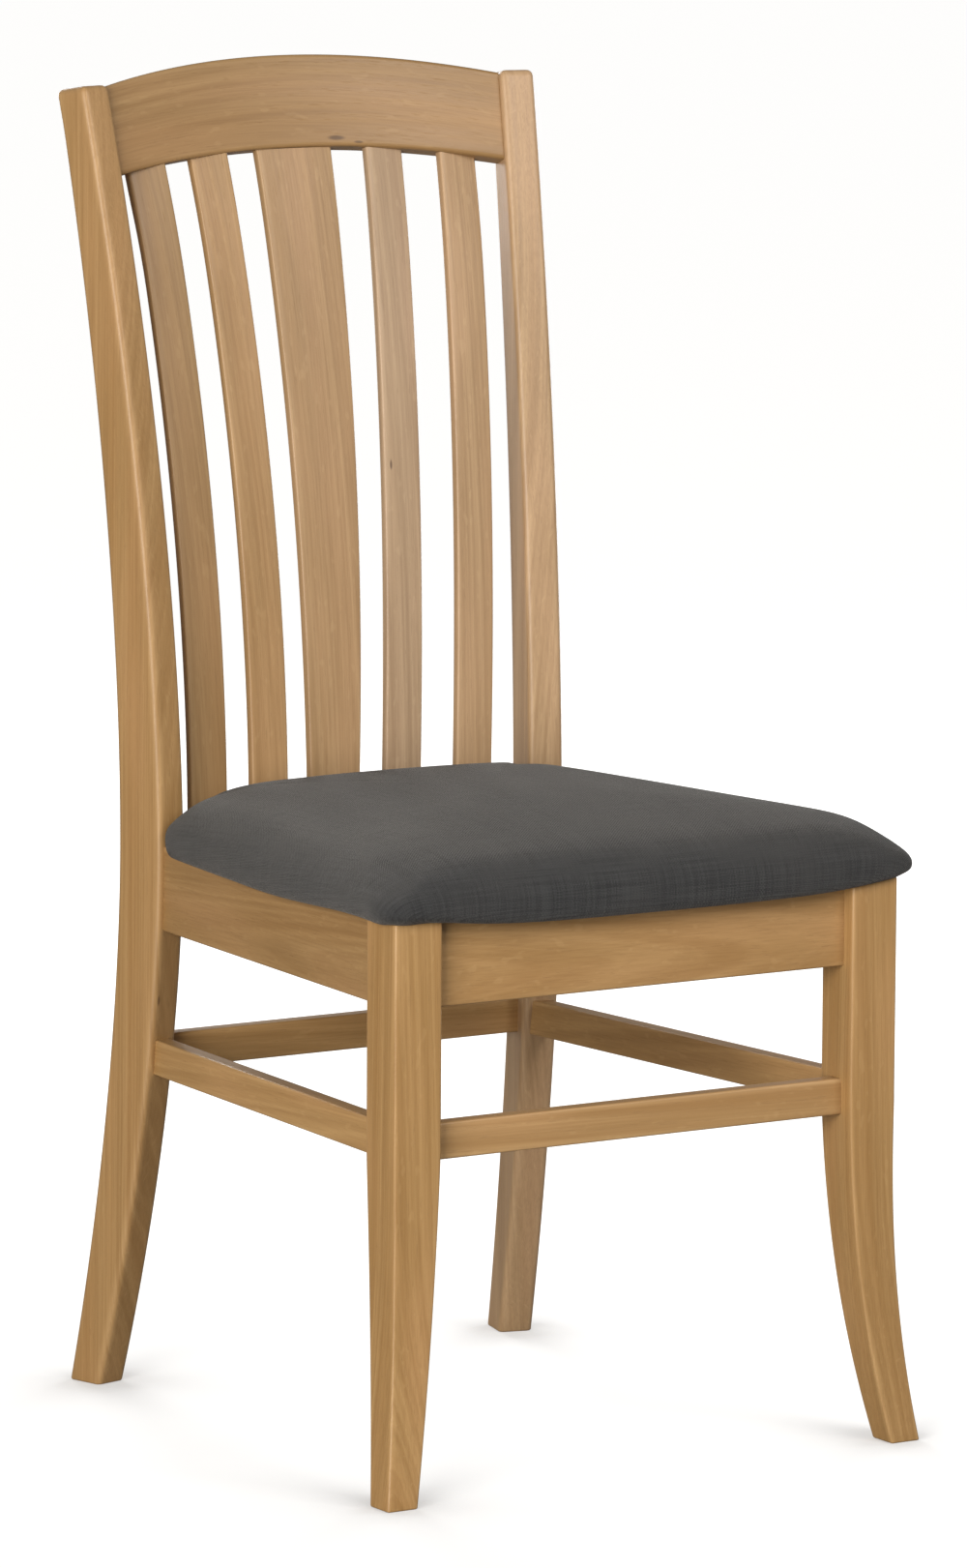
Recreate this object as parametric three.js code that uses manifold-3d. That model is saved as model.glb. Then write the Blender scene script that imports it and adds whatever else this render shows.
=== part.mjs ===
// A slat-back oak dining chair with an upholstered drop-on seat.
// Units are millimetres. +Z is up and the front of the chair faces -Y. Left means the -X side.
// The parts are laid out from the front legs' front faces, where Y is 0, and the whole chair is
// moved at the end so that the origin is on the floor under the middle of its footprint.
import * as THREE from 'three';
import { mergeVertices } from 'three/addons/utils/BufferGeometryUtils.js';
import Module from 'manifold-3d';

const wasm = await Module();
wasm.setup();

// ---------------------------------------------------------------- driving dimensions
const GAP = 0.3;                // clearance that every pair of touching pieces keeps
const DEGREE = Math.PI / 180;
const ROUND_SIDES = 10;         // sides of a screw and of the hole it sits in

const FRONT_WIDTH = 459;        // across the outer faces of the front legs, at the seat
const RAIL_TOP = 445;           // top of the seat frame
const RAIL_HEIGHT = 68;
const RAIL_THICKNESS = 18;
const STRETCHER_TOP = 288;
const STRETCHER_HEIGHT = 28.5;
const STRETCHER_THICKNESS = 15;

// Front leg: square from the seat down, then tapered and swept outwards as a sabre leg.
const LEG = {
  section: 42, foot: 27, taperFrom: 268, sweepFrom: 289,
  sweepOut: 23, sweepForward: 25.5, sweepPower: 2.3, taperPower: 1.13,
};

// Rear post: a curved board from floor to crest, turned so that its front looks at the sitter.
const POST = {
  turn: 14 * DEGREE, thickness: 28.5, height: 1042, bowHeight: 440,
  outerX: 201.5, outerY: 464, bow: 24,
  depthSeat: 48, depthTop: 32, depthFoot: 34.5, thinTop: 1.15, thinFoot: 1.9,
  sweepTop: 79, sweepFoot: 63.5, sweepPower: 1.78, topCut: 5,
};

// Back: crest rail and slats lie on arcs of this radius in plan.
const ARC_RADIUS = 680;
const CREST = {
  thickness: 22, lean: 14.5 * DEGREE, frontY: 524, atHeight: 980,
  topMiddle: 1058, topRise: 17.5, topHalf: 180, bottomMiddle: 985, bottomRise: 13, bottomHalf: 172,
  tenonThickness: 10, tenonHeight: 48,
};
const SLAT = {
  thickness: 8.5, width: 34, middleFoot: 45.5, middleTop: 70,
  frontY: 461.5, sweep: 56, sweepPower: 2.05, straightTo: 470, spreadPower: 1.5,
  innerFoot: 62.5, innerTop: 82, outerFoot: 124.5, outerTop: 145.5,
};
const REAR_RAIL_SETBACK = 7;    // rear seat rail stands this far in front of the slats
const REAR_STRETCHER_Y = 459;

// Seat pad: plan size at its fullest, and the layers inside it.
const PAD = {
  frontHalf: 244, frontY: -11, cornerRadius: 26, rearHalf: 190, shoulderY: 413, notchHalf: 160,
  rearY: 457.5, rearRadius: 8, coverThickness: 1.6, hem: 20, boardThickness: 10, boardInset: 16,
};
const PAD_BOTTOM = RAIL_TOP + GAP;

const TENON = { rail: 16, thickness: 8, shoulder: 9, deep: 15, stretcher: 14, slat: 14 };
const SCREW = { shank: 2, head: 4.2, headHeight: 2.6, seatLength: 43, blockLength: 28, inBlock: 16 };
const BLOCK = { leg: 62, height: 34, rearShort: 5, screwAlong: 38, seatScrew: [28, 18] };

// ---------------------------------------------------------------- materials
const oak = new THREE.MeshStandardMaterial({ color: 0xb48a54, roughness: 0.5, metalness: 0 });
const plywood = new THREE.MeshStandardMaterial({ color: 0xc9ab7c, roughness: 0.75, metalness: 0 });
const fabric = new THREE.MeshStandardMaterial({ color: 0x4b4b4d, roughness: 0.95, metalness: 0 });
const foamRubber = new THREE.MeshStandardMaterial({ color: 0xe6dcc0, roughness: 1, metalness: 0 });
const steel = new THREE.MeshStandardMaterial({ color: 0xb9b9b4, roughness: 0.35, metalness: 0.9 });

// ---------------------------------------------------------------- solids
// A closed geometry with merged vertices, as a solid that can be joined and cut.
function toSolid(geometry) {
  const bare = geometry.clone();
  bare.deleteAttribute('normal');
  bare.deleteAttribute('uv');
  const merged = mergeVertices(bare, 1e-4);
  return new wasm.Manifold(new wasm.Mesh({
    numProp: 3,
    vertProperties: new Float32Array(merged.getAttribute('position').array),
    triVerts: new Uint32Array(merged.getIndex().array),
  }));
}

function toGeometry(solid) {
  const mesh = solid.getMesh();
  const geometry = new THREE.BufferGeometry();
  geometry.setAttribute('position', new THREE.BufferAttribute(mesh.vertProperties, 3));
  geometry.setIndex(new THREE.BufferAttribute(mesh.triVerts, 1));
  geometry.computeVertexNormals();
  return geometry;
}

// The same geometry on the other side of the chair.
function mirrored(geometry) {
  const twin = geometry.clone().scale(-1, 1, 1);
  const index = twin.getIndex();
  for (let i = 0; i < index.count; i += 3) {
    const second = index.getX(i + 1);
    index.setX(i + 1, index.getX(i + 2));
    index.setX(i + 2, second);
  }
  twin.computeVertexNormals();
  return twin;
}

const mirroredSolid = (solid) => toSolid(mirrored(toGeometry(solid)));
const bothSides = (solid) => solid.add(mirroredSolid(solid));

// A closed skin over rings of points, with a fan at each end. Rings run counter-clockwise as
// seen from the side they advance to.
function loft(rings) {
  const count = rings[0].length;
  const points = rings.flat();
  const index = [];
  for (let r = 0; r < rings.length - 1; r++) {
    for (let i = 0; i < count; i++) {
      const a = r * count + i;
      const b = r * count + (i + 1) % count;
      index.push(a, b, b + count, a, b + count, a + count);
    }
  }
  for (const [ring, isEnd] of [[0, false], [rings.length - 1, true]]) {
    const middle = new THREE.Vector3();
    rings[ring].forEach((point) => middle.add(point));
    points.push(middle.divideScalar(count));
    for (let i = 0; i < count; i++) {
      const a = ring * count + i;
      const b = ring * count + (i + 1) % count;
      index.push(...(isEnd ? [a, b, points.length - 1] : [b, a, points.length - 1]));
    }
  }
  const geometry = new THREE.BufferGeometry().setFromPoints(points);
  geometry.setIndex(index);
  return toSolid(geometry);
}

function prism(outline, bottom, top) {
  const shape = new THREE.Shape(outline);
  const geometry = new THREE.ExtrudeGeometry(shape, { depth: top - bottom, bevelEnabled: false });
  return toSolid(geometry.translate(0, 0, bottom));
}

// A block whose length lies along the given plan direction, leaning back by lean.
function block(size, centre, planAngle = 0, lean = 0) {
  const geometry = new THREE.BoxGeometry(...size);
  geometry.rotateX(-lean).rotateZ(planAngle).translate(...centre);
  return toSolid(geometry);
}

const steps = (from, to, count) => (
  Array.from({ length: count + 1 }, (_, i) => from + (to - from) * i / count));
const arc = (x) => -x * x / (2 * ARC_RADIUS);
const mix = THREE.MathUtils.lerp;

// ---------------------------------------------------------------- front leg
function legSquare(z, grow) {
  const { section, foot, taperFrom, sweepFrom } = LEG;
  const taper = Math.max(0, 1 - z / taperFrom) ** LEG.taperPower;
  const sweep = Math.max(0, 1 - z / sweepFrom) ** LEG.sweepPower;
  const half = mix(section, foot, taper) / 2 + grow;
  const x = -FRONT_WIDTH / 2 + section / 2 - LEG.sweepOut * sweep;
  const y = section / 2 - LEG.sweepForward * sweep;
  return [[-1, -1], [1, -1], [1, 1], [-1, 1]].map(([i, j]) => (
    new THREE.Vector3(x + i * half, y + j * half, z)));
}

function legBody(grow = 0) {
  const heights = [...steps(0, LEG.sweepFrom, 12), RAIL_TOP];
  return loft(heights.map((z) => legSquare(z, grow)));
}

// ---------------------------------------------------------------- rear post
function postDepth(z) {
  const up = Math.max(0, z - POST.bowHeight) / (POST.height - POST.bowHeight);
  const down = Math.max(0, POST.bowHeight - z) / POST.bowHeight;
  return POST.depthSeat - (POST.depthSeat - POST.depthTop) * up ** POST.thinTop
    - (POST.depthSeat - POST.depthFoot) * down ** POST.thinFoot;
}

// How far forward the middle of the post's depth lies, along the board's own plane.
function postMiddle(z) {
  const up = Math.max(0, z - POST.bowHeight) / (POST.height - POST.bowHeight);
  const down = Math.max(0, POST.bowHeight - z) / POST.bowHeight;
  return POST.bow - POST.sweepTop * up ** POST.sweepPower - POST.sweepFoot * down ** POST.sweepPower;
}
const postFront = (z) => postMiddle(z) + postDepth(z) / 2;
const postRear = (z) => postMiddle(z) - postDepth(z) / 2;

// A point of the left post: forward along the board, inward through its thickness.
function postPoint(forward, inward, z) {
  const [sin, cos] = [Math.sin(POST.turn), Math.cos(POST.turn)];
  return new THREE.Vector3(
    -POST.outerX + sin * forward + cos * inward,
    POST.outerY - cos * forward + sin * inward, z);
}

function postBody(grow = 0) {
  const inner = POST.thickness + grow;
  const rings = steps(0, POST.height, 26).map((z) => {
    const rearZ = z < POST.height ? z : z - POST.topCut;
    const [front, rear] = [postFront(z) + grow, postRear(rearZ) - grow];
    return [
      postPoint(front, -grow, z), postPoint(front, inner, z),
      postPoint(rear, inner, rearZ), postPoint(rear, -grow, rearZ),
    ];
  });
  return loft(rings);
}

// Everything between the inner faces of the two posts.
function betweenPosts(bottom, top) {
  const near = postPoint(POST.outerY, POST.thickness + GAP, 0);
  const far = postPoint(-POST.outerY, POST.thickness + GAP, 0);
  const corners = [[near.x, near.y], [-near.x, near.y], [-far.x, far.y], [far.x, far.y]];
  return prism(corners.map(([x, y]) => new THREE.Vector2(x, y)), bottom, top);
}

// How far forward along the board the inner face reaches a given Y.
const innerFaceForward = (y) => (
  (POST.outerY + Math.sin(POST.turn) * POST.thickness - y) / Math.cos(POST.turn));

// A tenon that enters the post's inner face, square to it.
function postTenon(forward, z, [thick, high], grow = 0, lean = 0) {
  const length = TENON.rail;
  const root = 6;
  const centre = postPoint(forward, POST.thickness - (length - root) / 2, z);
  const size = [length + root + 2 * grow, thick + 2 * grow, high + 2 * grow];
  return block(size, centre.toArray(), POST.turn, lean);
}

// ---------------------------------------------------------------- back
const crestFront = (z) => CREST.frontY + (z - CREST.atHeight) * Math.tan(CREST.lean);
const crestTop = (x) => CREST.topMiddle - CREST.topRise * (x / CREST.topHalf) ** 2;
const crestBottom = (x) => CREST.bottomMiddle - CREST.bottomRise * (x / CREST.bottomHalf) ** 2;

function crestBody(grow = 0) {
  const [sin, cos] = [Math.sin(CREST.lean), Math.cos(CREST.lean)];
  const corner = (x, z, depth) => (
    new THREE.Vector3(x, crestFront(z) + arc(x) + depth * cos, z - depth * sin));
  const rings = steps(-210, 210, 28).map((x) => {
    const [low, high] = [crestBottom(x) - grow, crestTop(x) + grow];
    const rear = CREST.thickness + grow;
    return [corner(x, low, -grow), corner(x, low, rear), corner(x, high, rear), corner(x, high, -grow)];
  });
  return loft(rings);
}

const slatFront = (z) => (
  SLAT.frontY + SLAT.sweep * (Math.max(0, z - SLAT.straightTo) / SLAT.straightTo) ** SLAT.sweepPower);

// One slat between two heights. shape gives its middle and width at its foot and its head.
function slatBody(shape, from, to, thickness, narrower = 0) {
  const count = Math.max(1, Math.round((to - from) / 36));
  const rings = steps(from, to, count).map((z) => {
    const spread = Math.max(0, (z - RAIL_TOP) / (CREST.bottomMiddle - RAIL_TOP)) ** SLAT.spreadPower;
    const rise = (z - RAIL_TOP) / (CREST.bottomMiddle - RAIL_TOP);
    const x = mix(shape.foot, shape.head, spread);
    const half = mix(shape.footWidth, shape.headWidth, rise) / 2 - narrower;
    const y = slatFront(z) + arc(x) + SLAT.thickness / 2;
    const point = (across, depth) => new THREE.Vector3(x + across, y + depth, z);
    const deep = thickness / 2;
    return [point(-half, -deep), point(half, -deep), point(half, deep), point(-half, deep)];
  });
  return loft(rings);
}

const narrow = (foot, head) => ({ foot, head, footWidth: SLAT.width, headWidth: SLAT.width });
const slats = [
  narrow(-SLAT.outerFoot, -SLAT.outerTop),
  narrow(-SLAT.innerFoot, -SLAT.innerTop),
  { foot: 0, head: 0, footWidth: SLAT.middleFoot, headWidth: SLAT.middleTop },
  narrow(SLAT.innerFoot, SLAT.innerTop),
  narrow(SLAT.outerFoot, SLAT.outerTop),
];

function slatTenons(shape, grow = 0) {
  const cheek = 1.5;
  const thickness = SLAT.thickness - 2 * cheek + 2 * grow;
  const x = Math.abs(shape.head);
  const lower = slatBody(shape, RAIL_TOP - TENON.slat - grow, RAIL_TOP + 6, thickness, 3 - grow);
  const head = crestBottom(x + shape.headWidth / 2);
  const upper = slatBody(shape, head - 6, head + TENON.slat + 6 + grow, thickness, 3 - grow);
  return [lower, upper];
}

// ---------------------------------------------------------------- seat rails and stretchers
const sideStart = -FRONT_WIDTH / 2 + LEG.section / 2;

// A straight bar from the front leg to the middle of the post's front face, and its tenons.
function sideBar({ middle, height, thickness, rearTenon }, grow = 0) {
  const start = new THREE.Vector3(sideStart, LEG.section, middle);
  const end = postPoint(postFront(middle), POST.thickness / 2, middle);
  const run = new THREE.Vector3().subVectors(end, start);
  const planAngle = Math.atan2(run.y, run.x);
  const along = run.clone().normalize();
  const between = (before, after, thick, high) => {
    const from = start.clone().addScaledVector(along, -before);
    const to = end.clone().addScaledVector(along, after);
    const centre = from.clone().add(to).divideScalar(2);
    return block([from.distanceTo(to), thick, high], centre.toArray(), planAngle);
  };
  const buried = 12;
  const body = between(buried, buried, thickness, height)
    .subtract(legBody(GAP)).subtract(postBody(GAP));
  const tenon = between(
    TENON.rail + grow, rearTenon + grow,
    TENON.thickness + 2 * grow, height - TENON.shoulder + 2 * grow);
  return { body, tenon, start, end, along };
}

const railShape = {
  middle: RAIL_TOP - RAIL_HEIGHT / 2, height: RAIL_HEIGHT, thickness: RAIL_THICKNESS,
  rearTenon: TENON.deep,
};
const stretcherShape = {
  middle: STRETCHER_TOP - STRETCHER_HEIGHT / 2, height: STRETCHER_HEIGHT,
  thickness: STRETCHER_THICKNESS, rearTenon: TENON.stretcher,
};

// A straight bar between the front legs, and its tenons.
function frontBar({ middle, height, thickness }, grow = 0) {
  const centre = [0, LEG.section / 2, middle];
  const between = FRONT_WIDTH - 2 * LEG.section;
  const body = block([between + LEG.section, thickness, height], centre)
    .subtract(bothSides(legBody(GAP)));
  const tenon = block([
    between + 2 * (TENON.rail + grow), TENON.thickness + 2 * grow,
    height - TENON.shoulder + 2 * grow], centre);
  return { body, tenon };
}

const rearRailFront = SLAT.frontY - REAR_RAIL_SETBACK;
const rearRailThickness = SLAT.thickness + 2 * REAR_RAIL_SETBACK;
function rearRailBody(grow = 0) {
  const rings = steps(-200, 200, 20).map((x) => {
    const front = rearRailFront + arc(x) - grow;
    const rear = rearRailFront + rearRailThickness + arc(x) + grow;
    const [low, high] = [RAIL_TOP - RAIL_HEIGHT - grow, RAIL_TOP + grow];
    return [[front, low], [rear, low], [rear, high], [front, high]].map(([y, z]) => (
      new THREE.Vector3(x, y, z)));
  });
  return loft(rings);
}

// ---------------------------------------------------------------- seat pad
// The pad's outline in plan, drawn in from its fullest size by inset.
function padOutline(inset) {
  const front = PAD.frontY + inset;
  const side = new THREE.Vector2(PAD.frontHalf - inset, front);
  const shoulder = new THREE.Vector2(PAD.rearHalf - inset, PAD.shoulderY - inset);
  const lean = new THREE.Vector2().subVectors(shoulder, side).normalize();
  const corner = Math.max(4, PAD.cornerRadius - inset / 2);
  const turn = Math.max(3, PAD.rearRadius - inset / 3);
  const notch = PAD.notchHalf - inset;
  const rear = PAD.rearY - inset;
  const rearCorner = rear + arc(notch);
  const shape = new THREE.Shape();
  const into = side.clone().addScaledVector(lean, corner);
  const out = shoulder.clone().addScaledVector(lean, -turn);
  shape.moveTo(0, front);
  shape.lineTo(side.x - corner, front);
  shape.quadraticCurveTo(side.x, side.y, into.x, into.y);
  shape.lineTo(out.x, out.y);
  shape.quadraticCurveTo(shoulder.x, shoulder.y, shoulder.x - turn, shoulder.y);
  shape.lineTo(notch, shoulder.y);
  shape.lineTo(notch, rearCorner - turn);
  shape.quadraticCurveTo(notch, rearCorner, notch - turn, rear + arc(notch - turn));
  shape.quadraticCurveTo((notch - turn) / 2, rear, 0, rear);
  const right = shape.getPoints(5).slice(1);
  const left = right.slice(0, -1).map((point) => new THREE.Vector2(-point.x, point.y)).reverse();
  return [...right, ...left];
}

// Height above the pad's base, how far the outline is drawn in there, and its scale.
const padProfile = [
  [0, 5, 1], [8, 0, 1], [17, 2, 1], [27, 8, 1], [36, 16, 1], [43, 26, 1], [50, 26, 0.86],
  [55, 26, 0.62], [57, 26, 0.3],
];
const padMiddleY = 225;

function padDrawn(height) {
  const upper = Math.max(1, padProfile.findIndex(([level]) => level >= height));
  const [low, high] = [padProfile[upper - 1], padProfile[upper]];
  return mix(low[1], high[1], (height - low[0]) / (high[0] - low[0]));
}

// The pad's shape drawn in by inset all round and on top, standing on the given height.
function padBody(inset, bottom) {
  const start = bottom - PAD_BOTTOM + inset;
  const levels = padProfile.filter(([height]) => height > start + 1);
  const rings = [[start, padDrawn(start), 1], ...levels].map(([height, drawn, scale]) => (
    padOutline(drawn + inset).map((point) => new THREE.Vector3(
      point.x * scale, padMiddleY + (point.y - padMiddleY) * scale, PAD_BOTTOM + height - inset))));
  return loft(rings);
}

// ---------------------------------------------------------------- screws
function screwGeometry(length) {
  const { shank, head, headHeight } = SCREW;
  const profile = [
    [0, -headHeight], [head * 0.7, -headHeight], [head, -headHeight / 2], [head, 0],
    [shank, 0], [shank, length - 4], [0, length],
  ];
  return new THREE.LatheGeometry(profile.map(([x, y]) => new THREE.Vector2(x, y)), ROUND_SIDES);
}

function drill(start, direction, length, radius) {
  const geometry = new THREE.CylinderGeometry(radius, radius, length, ROUND_SIDES);
  geometry.translate(0, length / 2, 0);
  const turn = new THREE.Quaternion().setFromUnitVectors(new THREE.Vector3(0, 1, 0), direction);
  geometry.applyQuaternion(turn).translate(start.x, start.y, start.z);
  return toSolid(geometry);
}

// ---------------------------------------------------------------- the chair
const chair = new THREE.Group();

function add(name, geometry, material) {
  const mesh = new THREE.Mesh(geometry, material);
  mesh.name = name;
  chair.add(mesh);
  return mesh;
}

function addPair(name, geometry, material) {
  add(`${name}_left`, geometry, material);
  add(`${name}_right`, mirrored(geometry), material);
}

// Back: the crest and slats are trimmed against each other before their tenons are joined on.
const between = betweenPosts(0, POST.height + CREST.topRise + 40);
const crestMiddle = (crestTop(CREST.topHalf) + crestBottom(CREST.bottomHalf)) / 2;
const crestDepth = CREST.thickness / 2 / Math.cos(CREST.lean);
const crestEndY = crestFront(crestMiddle) + crestDepth + arc(CREST.topHalf);
const crestTenon = (grow) => postTenon(
  innerFaceForward(crestEndY), crestMiddle, [CREST.tenonThickness, CREST.tenonHeight],
  grow, CREST.lean);

const rearRailEndY = rearRailFront + rearRailThickness / 2 + arc(CREST.bottomHalf);
const rearRailTenon = (grow) => postTenon(
  innerFaceForward(rearRailEndY), railShape.middle,
  [TENON.thickness, RAIL_HEIGHT - 2 * TENON.shoulder], grow);

const rearStretcherTenon = (grow) => postTenon(
  innerFaceForward(REAR_STRETCHER_Y), stretcherShape.middle,
  [TENON.thickness, STRETCHER_HEIGHT - TENON.shoulder], grow);

let crest = crestBody().intersect(between).add(bothSides(crestTenon(0)));
let rearRail = rearRailBody().intersect(between).add(bothSides(rearRailTenon(0)));
slats.forEach((shape, i) => {
  const reach = 10;
  const head = crestBottom(Math.abs(shape.head)) + reach;
  let slat = slatBody(shape, RAIL_TOP - reach, head, SLAT.thickness)
    .subtract(crestBody(GAP)).subtract(rearRailBody(GAP));
  const [foot, top] = slatTenons(shape);
  slat = slat.add(foot).add(top);
  const [footHole, topHole] = slatTenons(shape, GAP);
  crest = crest.subtract(topHole);
  rearRail = rearRail.subtract(footHole);
  add(`back_slat_${i + 1}`, toGeometry(slat), oak);
});
add('crest_rail', toGeometry(crest), oak);

// Seat frame and stretchers.
const frontRail = frontBar(railShape);
const frontStretcher = frontBar(stretcherShape);
const sideRail = sideBar(railShape);
const sideStretcher = sideBar(stretcherShape);
const rearStretcher = block(
  [FRONT_WIDTH, STRETCHER_THICKNESS, STRETCHER_HEIGHT], [0, REAR_STRETCHER_Y, stretcherShape.middle])
  .intersect(between).add(bothSides(rearStretcherTenon(0)));

addPair('side_stretcher', toGeometry(sideStretcher.body.add(sideStretcher.tenon)), oak);
add('front_stretcher', toGeometry(frontStretcher.body.add(frontStretcher.tenon)), oak);
add('rear_stretcher', toGeometry(rearStretcher), oak);

// Legs and posts, with a mortise for each tenon that enters them.
const frontLeg = legBody()
  .subtract(frontBar(railShape, GAP).tenon).subtract(frontBar(stretcherShape, GAP).tenon)
  .subtract(sideBar(railShape, GAP).tenon).subtract(sideBar(stretcherShape, GAP).tenon);
addPair('front_leg', toGeometry(frontLeg), oak);

const rearPost = postBody()
  .subtract(sideBar(railShape, GAP).tenon).subtract(sideBar(stretcherShape, GAP).tenon)
  .subtract(crestTenon(GAP)).subtract(rearRailTenon(GAP)).subtract(rearStretcherTenon(GAP));
addPair('rear_post', toGeometry(rearPost), oak);

// Corner blocks: each is screwed to two rails, and one more screw goes up into the seat board.
const inward = new THREE.Vector3(sideRail.along.y, -sideRail.along.x, 0);
const blockBottom = RAIL_TOP - BLOCK.height;
const screwHeight = RAIL_TOP - BLOCK.height / 2;
const sideFace = (y) => {
  const face = sideRail.start.clone().addScaledVector(inward, RAIL_THICKNESS / 2 + GAP);
  return face.addScaledVector(sideRail.along, (y - face.y) / sideRail.along.y).setZ(screwHeight);
};

// front is -1 for the corner at the front leg and 1 for the corner at the rear post.
function cornerBlock(front) {
  const isFront = front < 0;
  const railFace = (x) => (
    isFront ? LEG.section / 2 + RAIL_THICKNESS / 2 + GAP : rearRailFront + arc(x) - GAP);
  const corner = sideFace(railFace(CREST.bottomHalf));
  const alongSide = sideRail.along.clone().multiplyScalar(-front);
  const sideEnd = corner.clone().addScaledVector(alongSide, BLOCK.leg);
  const railEnd = new THREE.Vector3(corner.x + BLOCK.leg, railFace(corner.x + BLOCK.leg), 0);
  const buried = isFront ? 0 : BLOCK.rearShort;
  const rootCorner = corner.clone().addScaledVector(sideRail.along, buried);
  const outline = [sideEnd, rootCorner, railEnd.setY(railEnd.y + buried)];
  const body = prism(outline.map(({ x, y }) => new THREE.Vector2(x, y)), blockBottom, RAIL_TOP)
    .subtract(legBody(GAP)).subtract(postBody(GAP)).subtract(rearRailBody(GAP));

  const intoSide = inward.clone().negate();
  const sideSeat = corner.clone().addScaledVector(alongSide, BLOCK.screwAlong)
    .addScaledVector(inward, SCREW.inBlock);
  const railX = corner.x + BLOCK.screwAlong;
  const intoRail = new THREE.Vector3(0, front, 0);
  const railSeat = new THREE.Vector3(railX, railFace(railX) - front * SCREW.inBlock, screwHeight);
  const upSeat = new THREE.Vector3(
    corner.x + BLOCK.seatScrew[0], corner.y - front * BLOCK.seatScrew[1], blockBottom);
  const up = new THREE.Vector3(0, 0, 1);
  return {
    body,
    screws: [
      { seat: sideSeat, direction: intoSide, length: SCREW.blockLength, use: 'side' },
      { seat: railSeat, direction: intoRail, length: SCREW.blockLength, use: isFront ? 'front' : 'rear' },
      { seat: upSeat, direction: up, length: SCREW.seatLength, use: 'seat' },
    ],
  };
}

const drilled = { side: sideRail.body.add(sideRail.tenon), front: frontRail.body.add(frontRail.tenon),
  rear: rearRail };
let board = prism(
  padOutline(PAD.boardInset), PAD_BOTTOM + PAD.coverThickness + GAP,
  PAD_BOTTOM + PAD.coverThickness + GAP + PAD.boardThickness);

for (const [place, front] of [['front', -1], ['rear', 1]]) {
  const { body, screws } = cornerBlock(front);
  let cornerPiece = body;
  for (const { seat, direction, length, use } of screws) {
    const hole = drill(seat, direction, length + GAP, SCREW.shank + GAP);
    const headRoom = drill(seat, direction.clone().negate(), BLOCK.leg, SCREW.head + GAP);
    cornerPiece = cornerPiece.subtract(hole).subtract(headRoom);
    if (use === 'seat') board = board.subtract(bothSides(hole));
    else if (use === 'side') drilled.side = drilled.side.subtract(hole);
    else drilled[use] = drilled[use].subtract(bothSides(hole));
    for (const [side, sign] of [['left', 1], ['right', -1]]) {
      const name = use === 'seat' ? 'seat_screw' : `${use}_rail_screw`;
      const screw = add(`${name}_${place}_${side}`, screwGeometry(length), steel);
      const flip = new THREE.Vector3(sign, 1, 1);
      screw.position.copy(seat.clone().multiply(flip));
      screw.quaternion.setFromUnitVectors(
        new THREE.Vector3(0, 1, 0), direction.clone().multiply(flip));
    }
  }
  addPair(`corner_block_${place}`, toGeometry(cornerPiece), oak);
}
addPair('side_rail', toGeometry(drilled.side), oak);
add('front_rail', toGeometry(drilled.front), oak);
add('rear_rail', toGeometry(drilled.rear), oak);

// Seat pad: a plywood board, the foam on it, and the cover drawn over both and under the edge.
add('seat_board', toGeometry(board), plywood);
const foamBottom = PAD_BOTTOM + PAD.coverThickness + PAD.boardThickness + 2 * GAP;
add('seat_foam', toGeometry(padBody(PAD.coverThickness + GAP, foamBottom)), foamRubber);
const coverInside = padBody(PAD.coverThickness, PAD_BOTTOM + PAD.coverThickness);
const coverOpening = prism(padOutline(PAD.hem), RAIL_TOP - 1, PAD_BOTTOM + 2 * PAD.coverThickness);
const cover = padBody(0, PAD_BOTTOM).subtract(coverInside).subtract(coverOpening);
add('seat_cover', toGeometry(cover), fabric);

// The origin goes under the middle of the whole chair's footprint.
const footprint = new THREE.Box3().setFromObject(chair).getCenter(new THREE.Vector3());
chair.position.set(0, -footprint.y, 0);
const model = new THREE.Group();
model.add(chair);

export default model;
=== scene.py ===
# A slat-back oak dining chair with a charcoal fabric seat pad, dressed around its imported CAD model.
# Lengths are millimetres in the chair's layout frame, where Y is 0 at the front legs' front faces,
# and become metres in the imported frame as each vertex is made. Left means the -X side.
import math

import bmesh
import bpy
import numpy as np
from mathutils import Matrix, Vector


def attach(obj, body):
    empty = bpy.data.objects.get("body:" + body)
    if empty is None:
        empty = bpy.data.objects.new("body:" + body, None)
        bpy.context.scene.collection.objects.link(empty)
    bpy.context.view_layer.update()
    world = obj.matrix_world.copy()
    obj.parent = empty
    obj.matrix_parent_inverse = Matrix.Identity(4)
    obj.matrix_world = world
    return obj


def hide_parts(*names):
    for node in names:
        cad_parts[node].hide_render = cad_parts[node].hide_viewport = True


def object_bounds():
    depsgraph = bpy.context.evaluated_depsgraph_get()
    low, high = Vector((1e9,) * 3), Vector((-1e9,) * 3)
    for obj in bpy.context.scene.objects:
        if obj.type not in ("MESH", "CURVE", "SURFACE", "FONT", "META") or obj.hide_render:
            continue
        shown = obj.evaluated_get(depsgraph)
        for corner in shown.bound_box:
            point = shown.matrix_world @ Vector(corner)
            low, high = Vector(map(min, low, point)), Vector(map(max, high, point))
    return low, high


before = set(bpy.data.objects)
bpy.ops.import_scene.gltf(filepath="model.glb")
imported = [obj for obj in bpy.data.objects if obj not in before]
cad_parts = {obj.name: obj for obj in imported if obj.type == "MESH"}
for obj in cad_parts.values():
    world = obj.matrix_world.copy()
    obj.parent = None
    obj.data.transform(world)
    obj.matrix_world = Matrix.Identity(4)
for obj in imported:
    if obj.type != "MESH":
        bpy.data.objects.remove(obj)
cad_low, cad_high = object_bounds()

MM = 0.001
rng = np.random.default_rng(11)

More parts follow.
